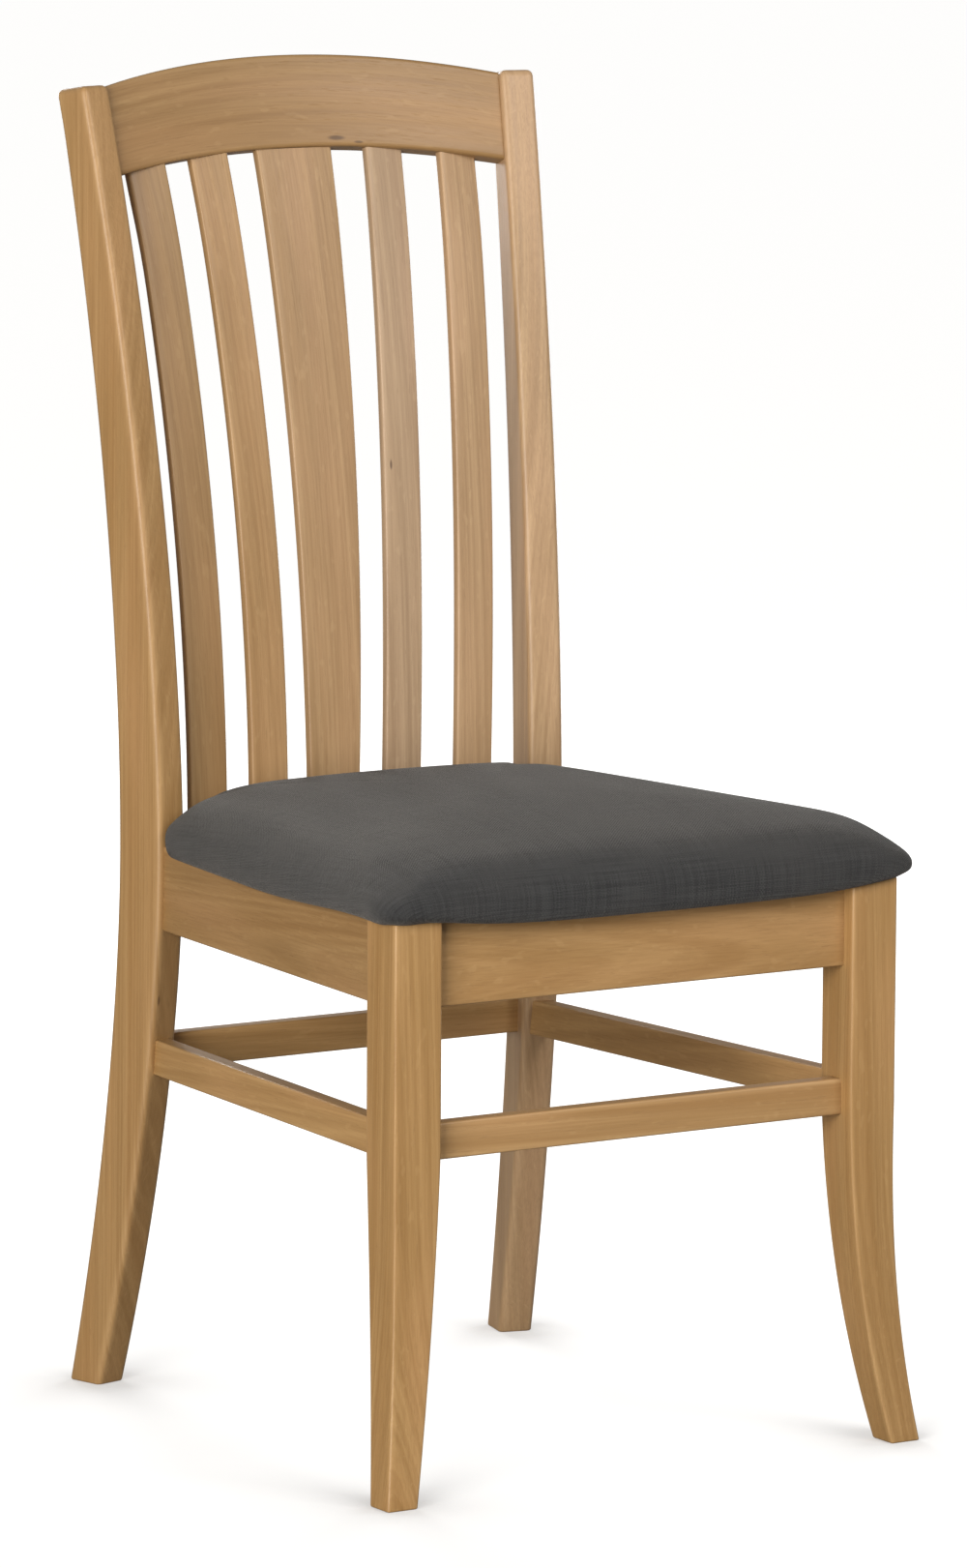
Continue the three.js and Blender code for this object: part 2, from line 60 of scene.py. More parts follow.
# ------------------------------------------------------------------ the chair's dimensions
FRONT_WIDTH = 459
RAIL = {"top": 445, "height": 68, "thickness": 18, "setback": 7}
STRETCHER = {"top": 288, "height": 28.5, "thickness": 15, "rear_y": 459}
LEG = {
    "section": 42, "foot": 27, "taper_from": 268, "sweep_from": 289,
    "sweep_out": 23, "sweep_forward": 25.5, "sweep_power": 2.3, "taper_power": 1.13,
}
POST = {
    "turn": math.radians(14), "thickness": 28.5, "height": 1042, "bow_height": 440,
    "outer_x": 201.5, "outer_y": 464, "bow": 24, "depth_seat": 48, "depth_top": 32,
    "depth_foot": 34.5, "thin_top": 1.15, "thin_foot": 1.9, "sweep_top": 79,
    "sweep_foot": 63.5, "sweep_power": 1.78, "top_cut": 5, "top_cut_from": 40,
}
ARC_RADIUS = 680
CREST = {
    "thickness": 22, "lean": math.radians(14.5), "front_y": 524, "at_height": 980,
    "top": 1058, "top_rise": 17.5, "top_half": 180, "bottom": 985, "bottom_rise": 13,
    "bottom_half": 172, "tenon_height": 48, "tenon_thickness": 10,
}
SLAT = {
    "thickness": 8.5, "width": 34, "middle_foot": 45.5, "middle_top": 70,
    "front_y": 461.5, "sweep": 56, "sweep_power": 2.05, "straight_to": 470,
    "spread_power": 1.5, "inner": (62.5, 82), "outer": (124.5, 145.5),
}
REAR_RAIL_DEPTH = SLAT["thickness"] + 2 * RAIL["setback"]
# A tenon's shoulders and cheeks are how much it is smaller than its piece, both sides together.
TENON = {
    "back": 14, "front": 16, "side": 7, "thickness": 8, "shoulders": 9,
    "rail_shoulders": 18, "slat_shoulders": 6, "slat_cheeks": 3,
}
LAP = 0.2                       # how far the end of a piece reaches into the piece it meets
SPAN = 170                      # pieces between the posts run from -SPAN to SPAN, stretched to fit
SIDES = {1: "left", -1: "right"}
FRONT_FOOT = LEG["section"] / 2 - LEG["sweep_forward"] - LEG["foot"] / 2
SHIFT_Y = cad_low.y / MM - FRONT_FOOT


def steps(start, end, count):
    """Evenly spaced values from start to end, both included."""
    return [start + (end - start) * i / count for i in range(count + 1)]


def mix(a, b, t):
    return a + (b - a) * t


def smooth(low, high, value):
    """0 at low, 1 at high, and an eased rise between them."""
    t = min(1, max(0, (value - low) / (high - low)))
    return t * t * (3 - 2 * t)


def arc(x):
    """The Y of the back's arc in plan at x, from its middle. Its ends come forward."""
    return -x * x / (2 * ARC_RADIUS)


def placed(point, side=1):
    """A layout point in millimetres as a packed-frame point in metres; side -1 mirrors it."""
    return (point[0] * MM * side, (point[1] + SHIFT_Y) * MM, point[2] * MM)


# ------------------------------------------------------------------ mesh building
ARC_STEPS = 4                   # flats round a rounded corner
WEAR_AND_HIGHLIGHT_BAND = 3.0                 # how far the lighter edge colour, partly wear and partly a painted highlight, reaches from a corner
SHARP_ANGLE = math.radians(38)
TENON_CORNER = 0.8
LEAST_CORNER = 0.4
LEAST_STEP = 0.5                # stations nearer to an eased end than this are left out


def section(width, depth, radius):
    """Points (across, deep, edge weight) round a rectangle with rounded corners. The edge weight is 1
    on a corner, where it makes the wood lighter, partly as wear and partly as a painted highlight.
    """
    halves = (width / 2, depth / 2)
    points = []
    for corner in range(4):
        turn = math.pi / 2 * corner
        u = (math.cos(turn), math.sin(turn))
        v = (-u[1], u[0])
        hu, hv = halves[corner % 2], halves[(corner + 1) % 2]
        band_u = min(WEAR_AND_HIGHLIGHT_BAND, 0.8 * (hu - radius))
        band_v = min(WEAR_AND_HIGHLIGHT_BAND, 0.8 * (hv - radius))
        local = [(hu, hv - radius - band_v, 0)]
        for i in range(ARC_STEPS + 1):
            angle = math.pi / 2 * i / ARC_STEPS
            local.append((hu - radius + radius * math.cos(angle),
                          hv - radius + radius * math.sin(angle), 1))
        local.append((hu - radius - band_u, hv, 0))
        points += [(p * u[0] + q * v[0], p * u[1] + q * v[1], wear_and_highlight) for p, q, wear_and_highlight in local]
    return points


def mesh_object(name, points, faces, **attributes):
    """A closed mesh with its faces turned outwards and one float attribute for each list given."""
    mesh = bpy.data.meshes.new(name)
    mesh.from_pydata(points, [], faces)
    for key, values in attributes.items():
        mesh.attributes.new(key, "FLOAT", "POINT").data.foreach_set("value", values)
    work = bmesh.new()
    work.from_mesh(mesh)
    bmesh.ops.recalc_face_normals(work, faces=work.faces)
    work.to_mesh(mesh)
    work.free()
    mesh.shade_smooth()
    mesh.set_sharp_from_angle(angle=SHARP_ANGLE)
    piece = bpy.data.objects.new(name, mesh)
    bpy.context.scene.collection.objects.link(piece)
    return piece


def loft(name, rings, wear_and_highlight, side=1):
    """A closed skin over rings of layout points. The edge weights go to its edge attribute, which
    makes corners lighter, partly as wear and partly as a painted highlight.
    """
    count = len(rings[0])
    points = [placed(p, side) for ring in rings for p in ring]
    faces = []
    for r in range(len(rings) - 1):
        for i in range(count):
            a, b = r * count + i, r * count + (i + 1) % count
            faces.append((a, b, b + count, a + count))
    faces.append(tuple(range(count))[::-1])
    faces.append(tuple(range((len(rings) - 1) * count, len(rings) * count)))
    return mesh_object(name, points, faces, edge=[w for ring in wear_and_highlight for w in ring])


def member(name, stations, size, at, radius, eased=(0, 0), tenons=(None, None), side=1):
    """A wooden member: rounded sections at stations along it.

    size(s) gives its width and depth at a station, at(s, across, deep) a point of it, eased the
    rounding of its two ends, and tenons what sticks out of each end, as (length, width, depth).
    """
    plan = []
    for end, (start, following) in enumerate([stations[:2], stations[:-3:-1]]):
        onward = math.copysign(1, following - start)
        rows = []
        if tenons[end]:
            length, wide, deep = tenons[end]
            rows += [(start - onward * length, (wide, deep), 0), (start, (wide, deep), 0)]
        ease = eased[end]
        turns = steps(90, 0, 4) if ease else [0]
        for angle in (math.radians(t) for t in turns):
            rows.append((start + onward * ease * (1 - math.sin(angle)), None,
                         ease * (1 - math.cos(angle))))
        plan.append(rows)
    first, last = plan[0][-1][0], plan[1][-1][0]
    low, high = min(first, last), max(first, last)
    inner = [(s, None, 0) for s in stations if low + LEAST_STEP < s < high - LEAST_STEP]
    rings, wear_and_highlight, own = [], [], []
    for s, fixed, inset in plan[0] + inner + plan[1][::-1]:
        width, depth = fixed or (value - 2 * inset for value in size(s))
        corner = TENON_CORNER if fixed else max(LEAST_CORNER, radius - inset)
        points = section(width, depth, corner)
        rings.append([at(s, across, deep) for across, deep, _ in points])
        wear_and_highlight.append([max(w, min(1, inset)) for _, _, w in points])
        own += [(s * MM, across * MM, deep * MM) for across, deep, _ in points]
    piece = loft(name + "_oak", rings, wear_and_highlight, side)
    place = piece.data.attributes.new("own", "FLOAT_VECTOR", "POINT")
    place.data.foreach_set("vector", np.ravel(own))
    return piece


def baked(piece):
    """Applies every modifier of a piece to its mesh."""
    shown = piece.evaluated_get(bpy.context.evaluated_depsgraph_get())
    mesh = bpy.data.meshes.new_from_object(shown)
    piece.modifiers.clear()
    old, piece.data = piece.data, mesh
    bpy.data.meshes.remove(old)
    mesh.name = piece.name
    return piece


# ------------------------------------------------------------------ the wooden pieces
def leg_taper(z):
    return max(0, 1 - z / LEG["taper_from"]) ** LEG["taper_power"]


def leg_point(z, across, deep):
    sweep = max(0, 1 - z / LEG["sweep_from"]) ** LEG["sweep_power"]
    return (-FRONT_WIDTH / 2 + LEG["section"] / 2 - LEG["sweep_out"] * sweep + across,
            LEG["section"] / 2 - LEG["sweep_forward"] * sweep + deep, z)


def leg_size(z):
    width = mix(LEG["section"], LEG["foot"], leg_taper(z))
    return width, width


def front_leg(side):
    stations = steps(0, LEG["sweep_from"], 30) + [330, 390, RAIL["top"]]
    return member("front_leg_" + SIDES[side], stations, leg_size, leg_point,
                  radius=2.2, eased=(1.6, 1.0), side=side)


def post_up(z):
    return max(0, z - POST["bow_height"]) / (POST["height"] - POST["bow_height"])


def post_down(z):
    return max(0, POST["bow_height"] - z) / POST["bow_height"]


def post_depth(z):
    return (POST["depth_seat"]
            - (POST["depth_seat"] - POST["depth_top"]) * post_up(z) ** POST["thin_top"]
            - (POST["depth_seat"] - POST["depth_foot"]) * post_down(z) ** POST["thin_foot"])


def post_middle(z):
    return (POST["bow"] - POST["sweep_top"] * post_up(z) ** POST["sweep_power"]
            - POST["sweep_foot"] * post_down(z) ** POST["sweep_power"])


def post_place(forward, inward, z):
    """A point of the left post: forward along the board's plane, inward through its thickness."""
    sin, cos = math.sin(POST["turn"]), math.cos(POST["turn"])
    return (-POST["outer_x"] + sin * forward + cos * inward,
            POST["outer_y"] - cos * forward + sin * inward, z)


def post_point(z, across, deep):
    near_top = smooth(POST["height"] - POST["top_cut_from"], POST["height"], z)
    drop = POST["top_cut"] * near_top * (0.5 - across / post_depth(z))
    return post_place(post_middle(z) + across, POST["thickness"] / 2 + deep, z - drop)


def rear_post(side):
    return member("rear_post_" + SIDES[side], steps(0, POST["height"], 70),
                  lambda z: (post_depth(z), POST["thickness"]), post_point,
                  radius=4.5, eased=(1.5, 5.5), side=side)


def inner_x(y):
    """Half the space between the two posts' inner faces at a depth y."""
    sin, cos = math.sin(POST["turn"]), math.cos(POST["turn"])
    forward = (POST["outer_y"] + sin * POST["thickness"] - y) / cos
    return POST["outer_x"] - sin * forward - cos * POST["thickness"]


def crest_front(z):
    return CREST["front_y"] + (z - CREST["at_height"]) * math.tan(CREST["lean"])


def crest_top(x):
    return CREST["top"] - CREST["top_rise"] * (x / CREST["top_half"]) ** 2


def crest_bottom(x):
    return CREST["bottom"] - CREST["bottom_rise"] * (x / CREST["bottom_half"]) ** 2


def crest_point(s, up, deep):
    """A point of the crest rail, s along it. The posts slant in plan, so how far the rail reaches
    depends on its y and the other way round, and a few rounds settle both."""
    sin, cos = math.sin(CREST["lean"]), math.cos(CREST["lean"])
    back = deep + CREST["thickness"] / 2
    x = s
    for _ in range(4):
        z = (crest_top(x) + crest_bottom(x)) / 2 + up
        y = crest_front(z) + arc(x) + back * cos
        x = s / SPAN * inner_x(y)
    return (x, y, z - back * sin)


def crest_rail():
    tenon = (TENON["back"], CREST["tenon_height"], CREST["tenon_thickness"])
    return member("crest_rail", steps(-SPAN, SPAN, 60),
                  lambda s: (crest_top(s) - crest_bottom(s), CREST["thickness"]), crest_point,
                  radius=3.2, tenons=(tenon, tenon))


def slat_front(z):
    lift = max(0, z - SLAT["straight_to"]) / SLAT["straight_to"]
    return SLAT["front_y"] + SLAT["sweep"] * lift ** SLAT["sweep_power"]


def back_slat(number):
    """Slat number 0 to 4 from the left. It stands on the rear rail and ends under the crest."""
    place = number - 2
    foot, head = [(0, 0), SLAT["inner"], SLAT["outer"]][abs(place)]
    sign = math.copysign(1, place)
    foot_width, head_width = (
        (SLAT["middle_foot"], SLAT["middle_top"]) if place == 0 else (SLAT["width"],) * 2)
    base = RAIL["top"]
    rise = CREST["bottom"] - base

    def size(z):
        return mix(foot_width, head_width, (z - base) / rise), SLAT["thickness"]

    def at(z, across, deep):
        spread = max(0, (z - base) / rise) ** SLAT["spread_power"]
        middle = sign * mix(foot, head, spread)
        x = middle + across
        lean = math.tan(CREST["lean"])
        y = slat_front(z) + arc(middle) + SLAT["thickness"] / 2 + deep
        under = crest_bottom(x) - lean * (y - crest_front(crest_bottom(x)) - arc(x))
        top = smooth(rise * 0.8, rise, z - base) * (under + LAP - (base + rise))
        return (x, y, z + top)

    tenons = [(TENON["back"], width - TENON["slat_shoulders"],
               SLAT["thickness"] - TENON["slat_cheeks"]) for width in (foot_width, head_width)]
    return member(f"back_slat_{number + 1}", steps(base - LAP, base + rise, 36), size, at,
                  radius=2.2, tenons=tenons)


def rear_rail():
    front = SLAT["front_y"] - RAIL["setback"]

    def at(s, up, deep):
        """As in crest_point, a few rounds settle x and y."""
        x = s
        for _ in range(3):
            y = front + arc(x) + deep + REAR_RAIL_DEPTH / 2
            x = s / SPAN * inner_x(y)
        return (x, y, RAIL["top"] - RAIL["height"] / 2 + up)

    tenon = (TENON["back"], RAIL["height"] - TENON["rail_shoulders"], TENON["thickness"])
    return member("rear_rail", steps(-SPAN, SPAN, 30),
                  lambda s: (RAIL["height"], REAR_RAIL_DEPTH), at,
                  radius=1.6, tenons=(tenon, tenon))


def rear_stretcher():
    def at(s, up, deep):
        y = STRETCHER["rear_y"] + deep
        return (s / SPAN * inner_x(y), y, STRETCHER["top"] - STRETCHER["height"] / 2 + up)

    tenon = (TENON["back"], STRETCHER["height"] - TENON["shoulders"], TENON["thickness"])
    return member("rear_stretcher", steps(-SPAN, SPAN, 12),
                  lambda s: (STRETCHER["height"], STRETCHER["thickness"]), at,
                  radius=2.0, tenons=(tenon, tenon))


def front_bar(name, bar):
    """A straight bar between the front legs."""
    half = FRONT_WIDTH / 2 - LEG["section"]
    middle = bar["top"] - bar["height"] / 2
    tenon = (TENON["front"], bar["height"] - TENON["shoulders"], TENON["thickness"])
    return member(name, steps(-half - LAP, half + LAP, 12),
                  lambda s: (bar["height"], bar["thickness"]),
                  lambda s, up, deep: (s, LEG["section"] / 2 + deep, middle + up),
                  radius=1.8, tenons=(tenon, tenon))


def side_bar(name, bar, side):
    """A straight bar from the front leg to the middle of the rear post's front face."""
    middle = bar["top"] - bar["height"] / 2
    start = Vector((-FRONT_WIDTH / 2 + LEG["section"] / 2, LEG["section"]))
    end = Vector(post_place(post_middle(middle) + post_depth(middle) / 2,
                            POST["thickness"] / 2, 0)[:2])
    along = (end - start).normalized()
    outward = Vector((-along.y, along.x))
    forward = Vector((math.sin(POST["turn"]), -math.cos(POST["turn"])))

    def at(s, up, deep):
        z = middle + up
        root = start + outward * deep
        first = (LEG["section"] - LAP - root.y) / along.y
        face = Vector(post_place(post_middle(z) + post_depth(z) / 2 - LAP, 0, 0)[:2])
        last = (face - root).dot(forward) / along.dot(forward)
        return (*(root + along * mix(first, last, s / SPAN)), z)

    tenon = (TENON["side"], bar["height"] - TENON["shoulders"], TENON["thickness"])
    return member(name + SIDES[side], steps(0, SPAN, 12),
                  lambda s: (bar["height"], bar["thickness"]), at,
                  radius=1.8, tenons=(tenon, tenon), side=side)


# ------------------------------------------------------------------ the seat pad
PAD = {
    "front_half": 247, "front_y": -9.5, "corner": 34, "rear_half": 188, "shoulder_y": 414,
    "shoulder_turn": 12, "notch_half": 161, "notch_turn": 4, "rear_y": 458, "rear_turn": 9,
    "bottom": 445.3, "middle_y": 225,
}
GROWTH = {"corner": 0.8, "shoulder_turn": 0.7, "notch_turn": 0.9}   # per mm that it is drawn in
PULL_IN = 7.5                   # the form starts this much larger, as the air draws its sides in
# The pad's side from its foot to its shoulder: height above the base, and how far it is drawn in.
PAD_SIDE = [
    (0, 32), (0, 28), (0, 24), (0, 20), (0, 13), (0.8, 6.5), (3, 2.5), (6, 0.5), (11, 0),
    (17, 1.5), (23, 5), (28.5, 10), (33.5, 17), (37.5, 26),
]
UNDER_SCALES = (0.06, 0.3, 0.55, 0.8)
TOP_SCALES = (0.94, 0.86, 0.76, 0.64, 0.5, 0.34, 0.18, 0.05)
CROWN = {"height": 17.5, "power": 2.2}      # the middle's height over the shoulder
# The lip hangs between the front legs, round front_middle, and along the sides.
SAG = {"front": 10.5, "side": 10.5, "front_middle": 16, "front_half": 222}
# The corners are lower by this much. It fades out at these distances from the pad's edges.
SLUMP = {"front": 8, "rear": 3.5, "notch": 9, "from_side": 88, "from_end": 75}
# The pad's underside: a free lip round the frame, a hem, and the board let in behind it.
LIP = {"width": 9, "fade": 11, "hang": 15}
HEM = {"width": 20, "fade": 4, "recess": 6.5, "height": 6}
TAPER = (PAD["front_half"] - PAD["rear_half"]) / (PAD["shoulder_y"] - PAD["front_y"])
FLAT_ABOVE = 41                 # above this height over its base the cloth lies flat
CLOTH_CORNER = 9                # how sharply the cloth turns from front to side at a corner


def from_side(x, y):
    """How far inside the pad's left and right edges a point lies."""
    return PAD["front_half"] - TAPER * (y - PAD["front_y"]) - np.abs(x)


def bend(start, corner, end, count):
    """Points on a quadratic curve round a corner, without its start."""
    return [tuple((1 - t) ** 2 * a + 2 * t * (1 - t) * b + t * t * c
                  for a, b, c in zip(start, corner, end)) for t in steps(0, 1, count)[1:]]


def pad_outline(inset, rear_inset):
    """The pad's outline in plan, drawn in by inset, and by rear_inset between the posts. Its
    corners grow rounder as it draws in. One half is made of points and mirrored."""
    drawn_in = max(0, inset)
    front = PAD["front_y"] + inset
    side = Vector((PAD["front_half"] - inset, front))
    shoulder = Vector((PAD["rear_half"] - inset, PAD["shoulder_y"] - inset * 0.5))
    lean = (shoulder - side).normalized()
    corner = PAD["corner"] + drawn_in * GROWTH["corner"]
    turn = min(PAD["shoulder_turn"] + drawn_in * GROWTH["shoulder_turn"],
               PAD["rear_half"] - PAD["notch_half"] - 2)
    hollow = PAD["notch_turn"] + drawn_in * GROWTH["notch_turn"]
    notch, rear, rear_turn = PAD["notch_half"] - inset, PAD["rear_y"] - rear_inset, PAD["rear_turn"]
    into, out = side + lean * corner, shoulder - lean * turn
    half = [(side.x * t, front) for t in steps(0, 1 - corner / side.x, 10)]
    half += bend(half[-1], side, into, 8)
    half += [tuple(into.lerp(out, t)) for t in steps(0, 1, 14)[1:]]
    half += bend(out, shoulder, (shoulder.x - turn, shoulder.y), 5)
    half += bend(half[-1], (notch, shoulder.y), (notch, shoulder.y + hollow), 4)
    half += [(notch, rear + arc(notch) - rear_turn)]
    half += bend(half[-1], (notch, rear + arc(notch)),
                 (notch - rear_turn, rear + arc(notch - rear_turn)), 4)
    half += [((notch - rear_turn) * t, rear + arc((notch - rear_turn) * t))
             for t in steps(1, 0, 7)[1:]]
    return half + [(-x, y) for x, y in half[-2:0:-1]]


def pad_sag(x, y):
    """How far the pad's lower lip hangs below the seat frame's top between the legs."""
    across = max(0, 1 - ((x - SAG["front_middle"]) / SAG["front_half"]) ** 4) * smooth(40, 0, y)
    along = smooth(10, 240, y) * smooth(150, 175, abs(x))
    return SAG["front"] * across + SAG["side"] * along


def pad_slump(x, y, height):
    """How much lower the pad is at its corners, where the cloth is pulled down tightest."""
    from_end = min(y - PAD["front_y"], PAD["shoulder_y"] - y)
    near = smooth(SLUMP["from_side"], -5, from_side(x, y)) * smooth(SLUMP["from_end"], -5, from_end)
    drop = SLUMP["front"]
    if y > PAD["middle_y"]:
        drop = SLUMP["rear"] + SLUMP["notch"] * smooth(390, 425, y)
    return drop * near * smooth(8, 36, height)


def pad_levels():
    """Height above the base, inset and scale of each ring of the pad, from under its middle,
    round its side and up to its crown."""
    shoulder_height, shoulder_inset = PAD_SIDE[-1]
    under = [(0, PAD_SIDE[0][1], scale) for scale in UNDER_SCALES]
    side = [(height, inset, 1) for height, inset in PAD_SIDE]
    top = [(shoulder_height + CROWN["height"] * (1 - scale ** CROWN["power"]), shoulder_inset, scale)
           for scale in TOP_SCALES]
    return under + side + top


def pad_form():
    """The pad's closed form before the air goes in."""
    rings = []
    for height, inset, scale in pad_levels():
        hang = smooth(16, 0, height) * smooth(20, 6, inset)
        rear_inset = inset if height > 11 else inset * 0.3
        ring = []
        for x, y in pad_outline(inset - PULL_IN, rear_inset - PULL_IN):
            x, y = x * scale, PAD["middle_y"] + (y - PAD["middle_y"]) * scale
            ring.append((x, y, PAD["bottom"] + height - hang * pad_sag(x, y)
                         - pad_slump(x, y, height)))
        rings.append(ring)
    return loft("seat_cushion", rings, [[0] * len(ring) for ring in rings])


def coordinates(mesh):
    values = np.zeros(len(mesh.vertices) * 3)
    mesh.vertices.foreach_get("co", values)
    return values.reshape(-1, 3)


def averaged(piece, values, factors):
    """Moves each point's values towards the mean of its neighbours', once for each factor."""
    ends = np.zeros(len(piece.data.edges) * 2, dtype=np.int64)
    piece.data.edges.foreach_get("vertices", ends)
    one, other = ends.reshape(-1, 2).T
    count = np.bincount(ends, minlength=len(values))[:, None]
    for factor in factors:
        around = np.zeros_like(values)
        np.add.at(around, one, values[other])
        np.add.at(around, other, values[one])
        values = values + factor * (around / count - values)
    return values


def rounded(piece):
    """Divides every face into four on a rounder surface."""
    finer = piece.modifiers.new("round", "SUBSURF")
    finer.levels = finer.render_levels = 1
    return baked(piece)


def inflate(piece, pressure=4.0, frames=20, cap=0.006, rounds=14):
    """Fills a closed form with air by cloth simulation. No point moves further than cap, and
    rounds of averaging even the movement out."""
    start = coordinates(piece.data)
    cloth = piece.modifiers.new("air", "CLOTH")
    settings = cloth.settings
    settings.use_pressure = True
    settings.uniform_pressure_force = pressure
    settings.quality = 6
    settings.mass = 0.3
    settings.tension_stiffness = 25
    settings.compression_stiffness = 25
    settings.bending_stiffness = 2.0
    settings.effector_weights.gravity = 0
    cloth.point_cache.frame_start = 1
    cloth.point_cache.frame_end = frames
    for number in range(1, frames + 1):
        bpy.context.scene.frame_set(number)
    baked(piece)
    bpy.context.scene.frame_set(1)
    moved = coordinates(piece.data) - start
    length = np.linalg.norm(moved, axis=1, keepdims=True)
    kept = moved * np.minimum(1, cap / np.maximum(length, 1e-9))
    kept = averaged(piece, kept, (0.5,) * rounds)
    piece.data.vertices.foreach_set("co", (start + kept).ravel())
    return piece


def calm(piece, rounds=4):
    """Takes the small bumps out of a surface without shrinking it."""
    points = averaged(piece, coordinates(piece.data), (0.5, -0.53) * rounds)
    piece.data.vertices.foreach_set("co", points.ravel())
    return piece


def rest_on_frame(piece):
    """Flattens the pad where it lies on the seat frame, and lets the board into its underside."""
    points = coordinates(piece.data)
    x, y, z = points[:, 0] / MM, points[:, 1] / MM - SHIFT_Y, points[:, 2] / MM
    behind = np.where(np.abs(x) > PAD["notch_half"], PAD["shoulder_y"] - y,
                      PAD["rear_y"] - x * x / (2 * ARC_RADIUS) - y)
    edge = np.minimum(np.minimum(from_side(x, y), y - PAD["front_y"]), behind)
    on_frame = np.clip((edge - LIP["width"]) / LIP["fade"], 0, 1)
    lowest = PAD["bottom"] - LIP["hang"] * (1 - on_frame ** 2 * (3 - 2 * on_frame))
    z = np.maximum(z, lowest)
    recess = np.clip((edge - HEM["width"]) / HEM["fade"], 0, 1) * HEM["recess"]
    lowest = PAD["bottom"] + recess - LIP["hang"] * (recess == 0)
    z = np.where(z < PAD["bottom"] + HEM["height"], np.maximum(z, lowest), z)
    points[:, 2] = z * MM
    piece.data.vertices.foreach_set("co", points.ravel())
    return piece


def lay_cloth(piece):
    """Gives each point its place on the flat cloth, so that the weave runs over the top and down
    the sides."""
    points = coordinates(piece.data)
    away = points[:, :2] - np.array([0, (PAD["middle_y"] + SHIFT_Y) * MM])
    outward = np.sign(away) * np.abs(away / (PAD["front_half"] * MM)) ** CLOTH_CORNER
    outward /= np.maximum(np.linalg.norm(outward, axis=1, keepdims=True), 1e-6)
    drop = np.maximum(0, (PAD["bottom"] + FLAT_ABOVE) * MM - points[:, 2])[:, None]
    flat = points[:, :2] + outward * drop
    cloth = np.concatenate([flat, np.zeros((len(flat), 1))], axis=1)
    place = piece.data.attributes.new("cloth", "FLOAT_VECTOR", "POINT")
    place.data.foreach_set("vector", cloth.ravel())


def seat_cushion():
    pad = rounded(calm(rest_on_frame(inflate(rounded(pad_form())))))
    lay_cloth(pad)
    pad.data.shade_smooth()
    return pad


# ------------------------------------------------------------------ materials
class Material:
    """A Principled material and short ways to add nodes to it."""

    def __init__(self, name, **sockets):
        self.material = bpy.data.materials.new(name)
        self.material.use_nodes = True
        self.tree = self.material.node_tree
        self.shader = self.tree.nodes["Principled BSDF"]
        for socket, value in sockets.items():
            self.shader.inputs[socket.replace("_", " ")].default_value = value

    def node(self, kind, settings=None, **inputs):
        """A new node. An input is given by its name, or as i and its number."""
        made = self.tree.nodes.new("ShaderNode" + kind)
        for key, value in (settings or {}).items():
            setattr(made, key, value)
        for key, value in inputs.items():
            self.plug(made.inputs[int(key[1:]) if key[1:].isdigit() else key], value)
        return made

    def plug(self, socket, value):
        if isinstance(value, bpy.types.NodeSocket):
            self.tree.links.new(value, socket)
        else:
            socket.default_value = value

    def math(self, operation, *values):
        inputs = {f"i{i}": value for i, value in enumerate(values)}
        return self.node("Math", {"operation": operation}, **inputs).outputs[0]

    def vector(self, operation, *values):
        inputs = {f"i{i}": value for i, value in enumerate(values)}
        made = self.node("VectorMath", {"operation": operation}, **inputs)
        return made.outputs["Value" if operation in ("LENGTH", "DISTANCE") else "Vector"]

    def attribute(self, name, output="Fac"):
        return self.node("Attribute", {"attribute_name": name}).outputs[output]

    def place(self):
        return self.node("TexCoord").outputs["Object"]

    def noise(self, vector, detail=2.0, roughness=0.5, scale=1.0):
        return self.node("TexNoise", Vector=vector, Scale=scale, Detail=detail,
                         Roughness=roughness).outputs["Fac"]

    def range(self, value, low, high, to_low=0.0, to_high=1.0):
        """Eases value from the range low to high into the range to_low to to_high."""
        return self.node("MapRange", {"interpolation_type": "SMOOTHSTEP"}, i0=value, i1=low,
                         i2=high, i3=to_low, i4=to_high).outputs["Result"]

    def mix(self, factor, a, b):
        made = self.node("Mix", {"data_type": "RGBA"})
        for index, value in ((0, factor), (6, a), (7, b)):
            self.plug(made.inputs[index], value)
        return made.outputs[2]

    def finish(self, color, roughness, height, distance, strength):
        """Sets the colour, the roughness and a bump of this pattern, up to distance metres deep."""
        self.plug(self.shader.inputs["Base Color"], color)
        self.plug(self.shader.inputs["Roughness"], roughness)
        bump = self.node("Bump", Height=height, Distance=distance, Strength=strength)
        self.plug(self.shader.inputs["Normal"], bump.outputs["Normal"])
        return self.material


OAK = {
    "dark": (0.325, 0.188, 0.076, 1), "light": (0.432, 0.264, 0.116, 1),
    "band": (0.35, 0.19, 0.073, 1), "late_wood": (0.27, 0.143, 0.052, 1),
    "cloud": (0.5, 0.29, 0.138, 1), "fibre": (0.2, 0.1, 0.035, 1),
    "pore": (0.14, 0.07, 0.025, 1), "fleck": (0.62, 0.41, 0.2, 1),
    "knot": (0.1, 0.05, 0.022, 1), "worn": (0.57, 0.375, 0.19, 1),
    "ring_width": 0.0031, "ring_waver": 0.007, "knot_stretch": 0.28,
}


